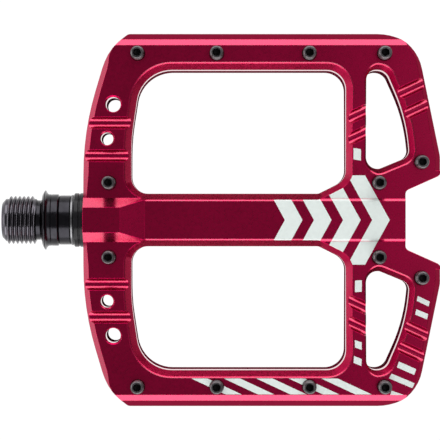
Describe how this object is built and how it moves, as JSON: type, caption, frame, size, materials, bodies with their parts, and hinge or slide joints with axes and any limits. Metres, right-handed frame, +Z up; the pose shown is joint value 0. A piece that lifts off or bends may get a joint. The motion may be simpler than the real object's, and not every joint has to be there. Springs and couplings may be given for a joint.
{
  "type": "flat pedal",
  "caption": "Flat platform pedal with a dished, windowed tread, traction pins on both faces and a threaded spindle that screws into a bicycle crank arm.",
  "frame": {"origin": "on the spindle's axis, in the plane of the flange's crank-side face", "axes": "+X along the spindle from the crank arm outwards, +Y fore and aft across the platform, +Z up through one tread face"},
  "size_m": [0.1302, 0.1104, 0.0258],
  "materials": {
    "platform_red": "red anodised",
    "cap_red": "red anodised",
    "pin_black": "black oxide",
    "spindle_black": "black oxide",
    "collar_black": "black anodised",
    "shim_steel": "bright",
    "seal_rubber": "matt",
    "bush_polymer": "matt",
    "ring_steel": "ground",
    "ball_steel": "polished",
    "cage_steel": "pressed",
    "shield_steel": "pressed",
    "spacer_steel": "turned",
    "spring_steel": "phosphated",
    "nut_steel": "zinc plated"
  },
  "bodies": {
    "spindle_body": {"spindle": "spindle_black", "spacer_collar": "collar_black", "shim_washer": "shim_steel", "bearing_inner_rings": "ring_steel", "inner_spacer": "spacer_steel", "lock_washer": "nut_steel", "lock_nut": "nut_steel"},
    "platform": {"platform_body": "platform_red", "inboard_seal": "seal_rubber", "journal_bush": "bush_polymer", "bearing_outer_rings": "ring_steel", "bearing_shields": "shield_steel", "outer_spacer": "spacer_steel", "retaining_ring": "spring_steel", "end_cap": "cap_red", "end_cap_seal": "seal_rubber", "front_pins_top": "pin_black", "front_pins_bottom": "pin_black", "rear_pins_top": "pin_black", "rear_pins_bottom": "pin_black", "outboard_pins_top": "pin_black", "outboard_pins_bottom": "pin_black", "spar_pins_top": "pin_black", "spar_pins_bottom": "pin_black"},
    "ball_sets": {"bearing_balls": "ball_steel", "ball_cages": "cage_steel"}
  },
  "joints": [
    {"name": "platform_spin", "type": "hinge", "parent": "spindle_body", "child": "platform", "pos_m": [0.06, 0, 0], "axis": [1, 0, 0], "continuous": true},
    {"name": "ball_orbit", "type": "hinge", "parent": "spindle_body", "child": "ball_sets", "pos_m": [0.0675, 0, 0], "axis": [1, 0, 0], "continuous": true}
  ],
  "couplings": [
    {"joint": "ball_orbit", "follows": "platform_spin", "ratio": 0.57778}
  ]
}
